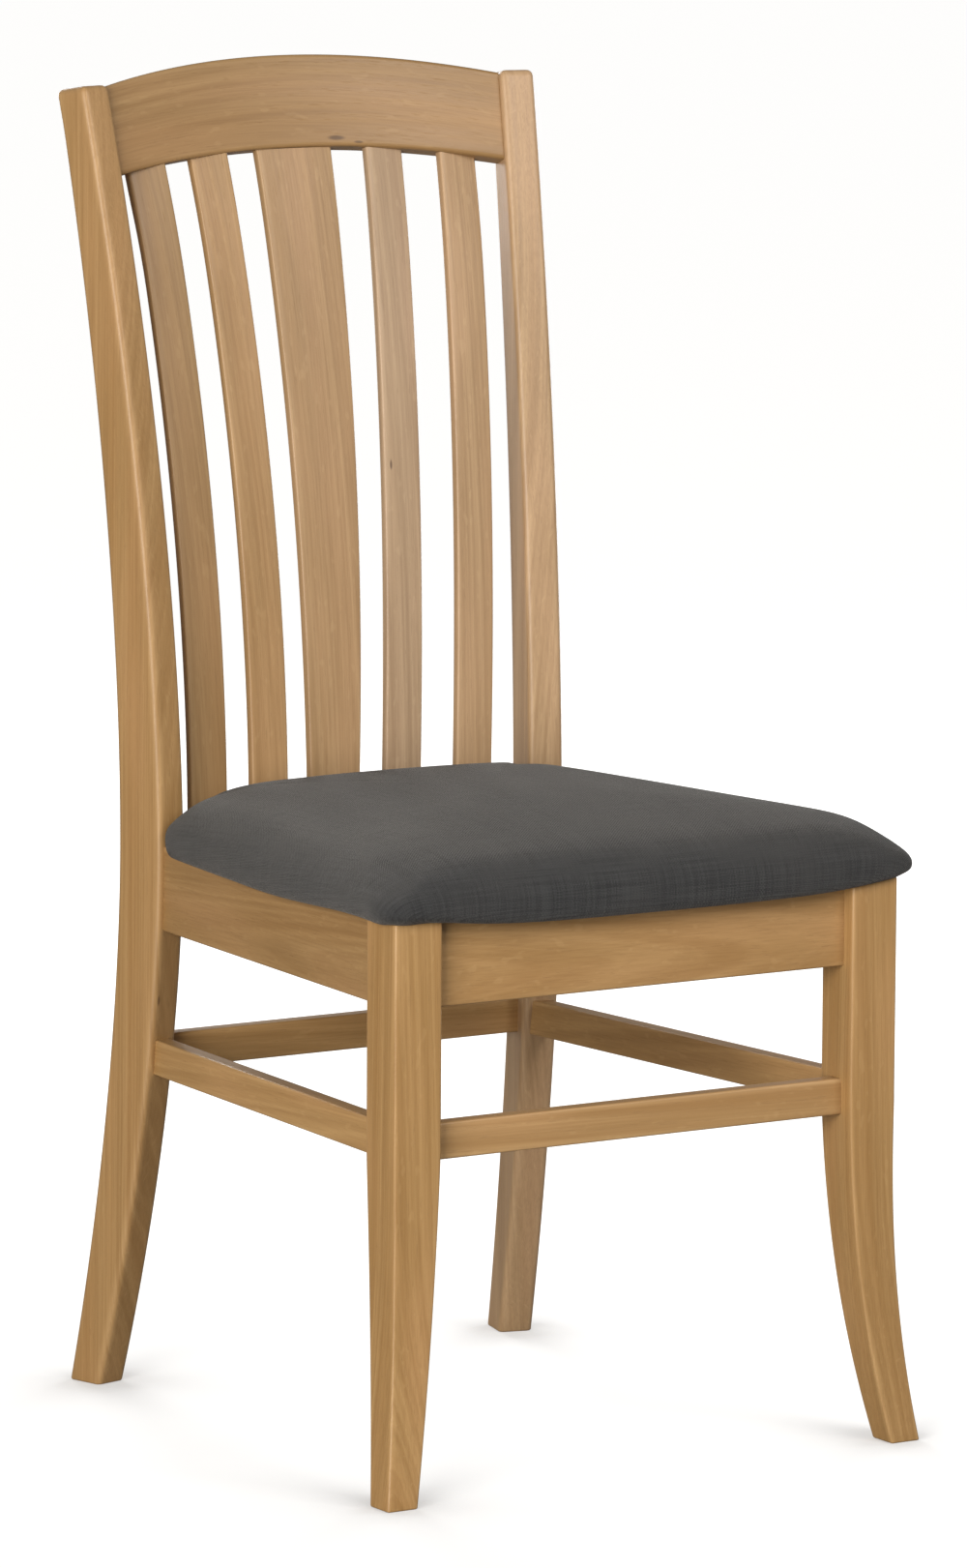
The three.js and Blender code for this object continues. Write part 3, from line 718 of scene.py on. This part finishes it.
def oak(name, knots=()):
    """Lacquered oak. The grain attribute is a point's place in its log, in metres: along the
    trunk, and from its heart in the two directions across. knots are (along, across, size)."""
    wood = Material(name, Coat_Weight=0.25, Coat_Roughness=0.45, Specular_IOR_Level=0.34)
    grain = wood.attribute("grain", "Vector")
    board = wood.attribute("board", "Vector")
    edge = wood.attribute("edge")
    # Each piece's tone and richness are partly the oak's own and partly painted light and shade, set
    # piece by piece to how lit each piece looks.
    tone = wood.attribute("tone")
    richness = wood.attribute("richness")

    drift = wood.noise(wood.vector("MULTIPLY", grain, (1.3, 26, 26)), detail=1)
    heart = wood.vector("LENGTH", wood.vector("MULTIPLY", grain, (0, 1, 1)))
    waver = wood.math("MULTIPLY", wood.math("SUBTRACT", drift, 0.5), OAK["ring_waver"])
    radius = wood.math("ADD", heart, waver)
    year = wood.math("FRACT", wood.math("DIVIDE", radius, OAK["ring_width"]))
    late = wood.math("MULTIPLY", wood.range(year, 0.1, 0.7), wood.range(year, 1.0, 0.88))

    split = wood.node("SeparateXYZ", i0=grain)
    sheet = wood.node("CombineXYZ", i0=split.outputs["X"], i1=radius, i2=split.outputs["Y"])
    sheet = sheet.outputs["Vector"]
    streak = wood.noise(wood.vector("MULTIPLY", sheet, (1.7, 260, 30)), detail=3, roughness=0.62)
    band = wood.noise(wood.vector("MULTIPLY", sheet, (1.1, 75, 12)), detail=1)
    fibre = wood.noise(wood.vector("MULTIPLY", grain, (9, 700, 700)), detail=2)
    cloud = wood.noise(wood.vector("MULTIPLY", grain, (5, 20, 20)), detail=1)
    dash = wood.noise(wood.vector("MULTIPLY", grain, (80, 1500, 1500)), detail=1)
    pore = wood.math("MULTIPLY", wood.range(dash, 0.6, 0.7),
                     wood.range(late, 0.75, 0.2, 0.3, 1.0))
    fleck = wood.noise(wood.vector("MULTIPLY", grain, (60, 160, 1100)), detail=1)

    color = wood.mix(wood.range(streak, 0.28, 0.72), OAK["dark"], OAK["light"])
    color = wood.mix(wood.range(band, 0.38, 0.7, 0, 0.4), color, OAK["band"])
    color = wood.mix(wood.math("MULTIPLY", late, 0.18), color, OAK["late_wood"])
    color = wood.mix(wood.range(cloud, 0.4, 0.75, 0, 0.42), color, OAK["cloud"])
    color = wood.mix(wood.range(fibre, 0.4, 0.7, 0.0, 0.19), color, OAK["fibre"])
    color = wood.mix(wood.math("MULTIPLY", pore, 0.17), color, OAK["pore"])
    color = wood.mix(wood.range(fleck, 0.64, 0.74, 0, 0.12), color, OAK["fleck"])
    for along, sideways, size in knots:
        away = wood.vector("MULTIPLY", wood.vector("SUBTRACT", board, (along, sideways, 0)),
                           (OAK["knot_stretch"], 1, 0))
        near = wood.range(wood.vector("LENGTH", away), size, size * 0.35)
        color = wood.mix(wood.math("MULTIPLY", near, 0.8), color, OAK["knot"])
    # The corners are lighter: partly wear and partly a painted highlight along the edges.
    worn = wood.math("MULTIPLY", edge, wood.range(streak, 0.3, 0.7, 0.04, 0.17))
    color = wood.mix(worn, color, OAK["worn"])
    color = wood.node("HueSaturation", i0=0.5, i1=richness, i2=tone, i3=1.0, i4=color).outputs[0]

    roughness = wood.math("ADD", wood.range(streak, 0.2, 0.8, 0.38, 0.5),
                          wood.math("MULTIPLY", pore, 0.2))
    height = wood.math("SUBTRACT", wood.math("MULTIPLY", fibre, 0.35),
                       wood.math("ADD", wood.math("MULTIPLY", pore, 0.5),
                                 wood.math("MULTIPLY", late, 0.2)))
    return wood.finish(color, roughness, height, 0.00012, 0.6)


def sawn_wood(name):
    """The corner blocks: bare oak with saw marks across it."""
    wood = Material(name, Specular_IOR_Level=0.25)
    place = wood.place()
    streak = wood.noise(wood.vector("MULTIPLY", place, (14, 14, 260)), detail=3)
    saw = wood.noise(wood.vector("MULTIPLY", place, (420, 60, 30)), detail=2)
    color = wood.mix(wood.range(streak, 0.3, 0.7), (0.38, 0.24, 0.115, 1), (0.62, 0.45, 0.25, 1))
    color = wood.mix(wood.range(saw, 0.45, 0.7, 0, 0.3), color, (0.27, 0.165, 0.08, 1))
    height = wood.math("ADD", saw, wood.math("MULTIPLY", streak, 0.5))
    return wood.finish(color, wood.range(streak, 0.2, 0.8, 0.62, 0.8), height, 0.0003, 0.6)


PLY_LAYERS = 0.0029              # from one dark layer of the plywood to the next


def layered_board(name):
    """Birch plywood: grain on its faces, and light and dark layers on its edges."""
    ply = Material(name, Specular_IOR_Level=0.3)
    place = ply.place()
    height = ply.node("SeparateXYZ", i0=place).outputs["Z"]
    layer = ply.math("FRACT", ply.math("DIVIDE", height, PLY_LAYERS))
    normal = ply.node("NewGeometry").outputs["True Normal"]
    face = ply.math("ABSOLUTE", ply.node("SeparateXYZ", i0=normal).outputs["Z"])
    grain = ply.noise(ply.vector("MULTIPLY", place, (6, 120, 30)), detail=3)
    fuzz = ply.noise(ply.vector("MULTIPLY", place, (500, 500, 500)), detail=1)
    pale = ply.mix(ply.range(grain, 0.3, 0.7), (0.52, 0.36, 0.19, 1), (0.72, 0.55, 0.34, 1))
    dark = ply.mix(ply.range(fuzz, 0.3, 0.7), (0.25, 0.15, 0.07, 1), (0.5, 0.33, 0.17, 1))
    on_edge = ply.math("MULTIPLY", ply.range(layer, 0.45, 0.55), ply.range(face, 0.7, 0.2))
    color = ply.mix(on_edge, pale, dark)
    return ply.finish(color, ply.range(grain, 0.2, 0.8, 0.6, 0.75), grain, 0.0002, 0.5)


def zinc_steel(name):
    """Zinc-plated screws, brushed by the driver."""
    steel = Material(name, Metallic=1.0)
    place = steel.place()
    cloud = steel.noise(steel.vector("MULTIPLY", place, (350, 350, 350)), detail=2)
    scratch = steel.noise(steel.vector("MULTIPLY", place, (2500, 300, 2500)), detail=1)
    color = steel.mix(steel.range(cloud, 0.35, 0.7), (0.42, 0.41, 0.37, 1), (0.63, 0.62, 0.58, 1))
    return steel.finish(color, steel.range(scratch, 0.3, 0.7, 0.28, 0.45), scratch, 0.00005, 0.4)


THREAD = 0.0013                 # from one thread of the weave to the next
YARN = {
    "dark": (0.0235, 0.024, 0.0245, 1), "light": (0.065, 0.065, 0.064, 1),
    "gap": (0.014, 0.014, 0.016, 1), "faded": (0.062, 0.058, 0.055, 1),
}


def charcoal_weave(name):
    """Flat-woven charcoal upholstery: a plain weave of slightly uneven, two-tone threads."""
    cloth = Material(name, Sheen_Weight=0.2, Sheen_Roughness=0.4, Sheen_Tint=(0.95, 0.88, 0.8, 1),
                     Specular_IOR_Level=0.2)
    place = cloth.attribute("cloth", "Vector")
    wobble = cloth.node("TexNoise", Vector=place, Scale=120.0, Detail=2.0).outputs["Color"]
    wobble = cloth.vector("MULTIPLY", cloth.vector("SUBTRACT", wobble, (0.5, 0.5, 0.5)),
                          (0.0007, 0.0007, 0))
    flat = cloth.node("SeparateXYZ", i0=cloth.vector("ADD", place, wobble))
    turns = math.pi / THREAD
    warp = cloth.math("SINE", cloth.math("MULTIPLY", flat.outputs["X"], turns))
    weft = cloth.math("SINE", cloth.math("MULTIPLY", flat.outputs["Y"], turns))
    over = cloth.math("MULTIPLY", warp, weft)
    warp_top = cloth.math("MULTIPLY", cloth.math("ABSOLUTE", warp), cloth.range(over, -0.1, 0.3))
    weft_top = cloth.math("MULTIPLY", cloth.math("ABSOLUTE", weft), cloth.range(over, 0.1, -0.3))
    height = cloth.math("MAXIMUM", warp_top, weft_top)
    warp_yarn = cloth.noise(cloth.vector("MULTIPLY", place, (700, 14, 1)), detail=2)
    weft_yarn = cloth.noise(cloth.vector("MULTIPLY", place, (14, 700, 1)), detail=2)
    yarn = cloth.math("ADD", cloth.math("MULTIPLY", warp_yarn, cloth.range(over, -0.2, 0.2)),
                      cloth.math("MULTIPLY", weft_yarn, cloth.range(over, 0.2, -0.2)))
    cloud = cloth.noise(place, scale=9.0, detail=3.0)
    fuzz = cloth.noise(place, scale=2600.0)
    color = cloth.mix(cloth.range(yarn, 0.3, 0.7), YARN["dark"], YARN["light"])
    # Painted shade: the low places between the threads are darker.
    color = cloth.mix(cloth.range(height, 0.75, 0.1, 0, 0.65), color, YARN["gap"])
    color = cloth.mix(cloth.range(cloud, 0.35, 0.7, 0, 0.3), color, YARN["faded"])
    relief = cloth.math("ADD", height, cloth.math("MULTIPLY", fuzz, 0.35))
    return cloth.finish(color, cloth.range(fuzz, 0.3, 0.7, 0.82, 0.97), relief, 0.0004, 0.8)


# ------------------------------------------------------------------ the chair is put together
UPRIGHT = (Vector((0, 0, 1)), Vector((1, 0, 0)))
CROSSWISE = (Vector((1, 0, 0)), Vector((0, 0, 1)))
SIDE_SLANT = 0.086              # how far the side bars come inwards for their length


def cut_from_log(piece, axes, heart, tilt, tone, richness):
    """Says where in its log a piece was cut: heart is how far the log's middle lies from the
    piece's own, across and deep, in millimetres, and tilt how the piece leans to the trunk.
    With no axes the grain follows the piece's length, round its bends."""
    points = coordinates(piece.data)
    if axes:
        along, across = axes
        middle = (points.min(0) + points.max(0)) / 2
        own = (points - middle) @ np.array([along, across, along.cross(across)]).T
    else:
        own = np.zeros(points.size)
        piece.data.attributes["own"].data.foreach_get("vector", own)
        own = own.reshape(-1, 3)
    log = own + np.array([rng.uniform(2, 9), heart[0] * MM, heart[1] * MM])
    log[:, 1:] += own[:, :1] * np.array([tilt])
    for name, values in (("board", own), ("grain", log)):
        piece.data.attributes.new(name, "FLOAT_VECTOR", "POINT").data.foreach_set(
            "vector", values.ravel())
    for name, value in (("tone", tone), ("richness", richness)):
        shade = piece.data.attributes.new(name, "FLOAT", "POINT")
        shade.data.foreach_set("value", np.full(len(points), value))


def join_in(piece, nodes, material):
    """One finished piece: it rides on the chair and stands for its CAD nodes."""
    piece.data.materials.clear()
    piece.data.materials.append(material)
    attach(piece, "root")
    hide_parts(*nodes)


plain_oak = oak("oak")
knotted_oak = {
    "crest_rail_oak": oak("oak_crest", [(0.034, -0.03, 0.0026), (0.052, -0.033, 0.0014)]),
    "back_slat_4_oak": oak("oak_slat", [(0.73, -0.011, 0.0015)]),
    "rear_post_left_oak": oak("oak_post", [(-0.2, 0.004, 0.0016)]),
}
wood_pieces = []                # piece, grain axes, heart, tilt, tone, richness
# The tone and richness given to each piece are partly the oak's own and partly painted light and
# shade, set to how lit each piece looks.
for side in (1, -1):
    wood_pieces.append((front_leg(side), UPRIGHT, (38, 70), (0.012, 0.02), 1.0, 1.06))
    # The right post is paler and greyer than the left: a painted glossy reflection.
    post_tone_and_painted_light = (1.0, 1.04) if side > 0 else (1.1, 0.9)
    wood_pieces.append((rear_post(side), UPRIGHT, (60, -45), (0.01, 0.012), *post_tone_and_painted_light))
    lean = Vector((SIDE_SLANT * side, 1, 0)).normalized()
    for name, bar, tone in (("side_rail_", RAIL, 0.9), ("side_stretcher_", STRETCHER, 1.1)):
        wood_pieces.append((side_bar(name, bar, side), (lean, Vector((0, 0, 1))),
                            (22, 60), (0.02, 0.03), tone, 1.05))
wood_pieces.append((crest_rail(), None, (30, -90), (0.03, 0.02), 0.87, 1.03))
wood_pieces.append((rear_rail(), None, (20, 60), (0.03, 0.02), 0.9, 1.0))
wood_pieces.append((rear_stretcher(), CROSSWISE, (18, 50), (0.02, 0.02), 1.06, 1.05))
wood_pieces.append((front_bar("front_rail", RAIL), CROSSWISE, (6, 40), (0.012, 0.05), 1.01, 1.04))
wood_pieces.append((front_bar("front_stretcher", STRETCHER), CROSSWISE, (24, 55), (0.02, 0.0),
                    1.1, 1.02))
# The fourth and fifth slats are paler and greyer: a painted glossy reflection.
for number, (tone, richness) in enumerate(
        ((0.78, 1.02), (0.98, 1.0), (1.0, 0.95), (1.1, 0.81), (1.1, 0.9))):
    wood_pieces.append((back_slat(number), None, (25 + 9 * number, 60), (0.015, 0.02),
                        tone, richness))

for piece, axes, heart, tilt, tone, richness in wood_pieces:
    spread = rng.uniform(-8, 8, 2)
    cut_from_log(piece, axes, (heart[0] + spread[0], heart[1] + spread[1]), tilt, tone, richness)
    join_in(piece, [piece.name.removesuffix("_oak")], knotted_oak.get(piece.name, plain_oak))

cushion = seat_cushion()
join_in(cushion, ("seat_cover", "seat_foam"), charcoal_weave("seat_fabric"))

finishes = {"corner_block": sawn_wood("block_wood"), "seat_board": layered_board("plywood"),
            "screw": zinc_steel("screw_steel")}
for name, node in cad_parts.items():
    for part, material in finishes.items():
        if part in name:
            node.data.materials.clear()
            node.data.materials.append(material)

# ------------------------------------------------------------------ floor, light and camera
WHITE = (1, 0.995, 0.985, 1)
WORLD = {"light": 0.27, "seen": 1.0}
# The last two entries paint a contact shadow round the feet: how far it reaches, and the glow left
# inside it.
FLOOR = {
    "radius": 40, "color": (0.5, 0.497, 0.492, 1), "unseen_color": (0.2, 0.195, 0.19, 1),
    "lit_from": (-0.9, -1.1, 0), "near": 0.5, "far": 2.6, "near_glow": 0.5, "far_glow": 0.85,
    "foot_reach": 0.14, "foot_glow": 0.6,
}


def floor_material():
    """Pale and matt. What the camera sees glows a little, more so further from the lamps, and less
    right round the feet, which paints a contact shadow there. To all other rays the floor is a darker
    one, which throws little light upwards."""
    floor = Material("pale_floor", Specular_IOR_Level=0.1, Emission_Color=WHITE)
    place = floor.place()
    away = floor.vector("DISTANCE", place, FLOOR["lit_from"])
    # Painted contact shadow: the glow dims where ambient occlusion finds the feet near.
    painted_shadow_ao = floor.node("AmbientOcclusion", Distance=FLOOR["foot_reach"]).outputs["AO"]
    glow = floor.math("MULTIPLY", floor.range(away, FLOOR["near"], FLOOR["far"],
                                              FLOOR["near_glow"], FLOOR["far_glow"]),
                      floor.range(painted_shadow_ao, 0.75, 1.0, FLOOR["foot_glow"], 1.0))
    floor.plug(floor.shader.inputs["Emission Strength"], glow)
    mottle = floor.noise(place, scale=3.0)
    floor.finish(FLOOR["color"], floor.range(mottle, 0, 1, 0.85, 0.95), mottle, 0.0001, 0.1)
    matt = floor.node("BsdfDiffuse", Color=FLOOR["unseen_color"])
    rays = floor.node("LightPath")
    shown = floor.node("MixShader", i0=rays.outputs["Is Camera Ray"], i1=matt.outputs[0],
                       i2=floor.shader.outputs[0])
    floor.plug(floor.tree.nodes["Material Output"].inputs["Surface"], shown.outputs[0])
    return floor.material


def pale_floor():
    bpy.ops.mesh.primitive_circle_add(vertices=96, radius=FLOOR["radius"], fill_type="NGON")
    floor = bpy.context.object
    floor.name = "pale_floor"
    floor.data.materials.append(floor_material())


def soft_box(name, place, aim, size, power, color=(1, 1, 1)):
    lamp = bpy.data.lights.new(name, "AREA")
    lamp.shape = "RECTANGLE"
    lamp.size, lamp.size_y = size
    lamp.energy = power
    lamp.color = color
    box = bpy.data.objects.new(name, lamp)
    box.location = place
    box.rotation_mode = "QUATERNION"
    box.rotation_quaternion = (Vector(aim) - Vector(place)).to_track_quat("-Z", "Y")
    bpy.context.scene.collection.objects.link(box)


def studio():
    """The camera sees a white world, which lights the chair only weakly. Four soft boxes do the
    rest."""
    world = bpy.data.worlds.new("studio")
    bpy.context.scene.world = world
    world.use_nodes = True
    nodes, links = world.node_tree.nodes, world.node_tree.links
    light = nodes["Background"]
    light.inputs["Color"].default_value = WHITE
    light.inputs["Strength"].default_value = WORLD["light"]
    seen = nodes.new("ShaderNodeBackground")
    seen.inputs["Color"].default_value = WHITE
    seen.inputs["Strength"].default_value = WORLD["seen"]
    rays = nodes.new("ShaderNodeLightPath")
    blend = nodes.new("ShaderNodeMixShader")
    links.new(rays.outputs["Is Camera Ray"], blend.inputs[0])
    links.new(light.outputs[0], blend.inputs[1])
    links.new(seen.outputs[0], blend.inputs[2])
    links.new(blend.outputs[0], nodes["World Output"].inputs["Surface"])
    soft_box("key", (-3.4, -2.3, 1.2), (0, 0, 0.45), (2.2, 2.2), 180, (1, 0.985, 0.96))
    soft_box("front", (0.9, -3.2, 2.7), (0, 0, 0.45), (2.0, 2.0), 76)
    soft_box("right", (3.5, 1.9, 0.8), (0, 0, 0.5), (1.6, 1.6), 50)
    soft_box("back", (0.6, 3.9, 1.5), (0, 0, 0.5), (1.6, 1.6), 76)


CAMERA = {
    "azimuth": math.radians(-32.41), "elevation": math.radians(8.457), "roll": math.radians(0.338),
    "place": (-3.7104, -5.8783, 1.5337), "lens": 204.962, "sensor": 36,
}


def portrait_camera():
    """The camera: back points from the chair to it."""
    azimuth, elevation, roll = CAMERA["azimuth"], CAMERA["elevation"], CAMERA["roll"]
    back = Vector((math.sin(azimuth) * math.cos(elevation), -math.cos(azimuth) * math.cos(elevation),
                   math.sin(elevation)))
    right = Vector((math.cos(azimuth), math.sin(azimuth), 0))
    up = back.cross(right)
    turned = right * math.cos(roll) + up * math.sin(roll)
    upright = up * math.cos(roll) - right * math.sin(roll)
    lens = bpy.data.cameras.new("camera")
    lens.sensor_width = CAMERA["sensor"]
    lens.lens = CAMERA["lens"]
    camera = bpy.data.objects.new("camera", lens)
    camera.matrix_world = Matrix.Translation(CAMERA["place"]) @ Matrix(
        (turned, upright, back)).transposed().to_4x4()
    bpy.context.scene.collection.objects.link(camera)
    bpy.context.scene.camera = camera


pale_floor()
studio()
portrait_camera()
bpy.context.scene.view_settings.view_transform = "Standard"
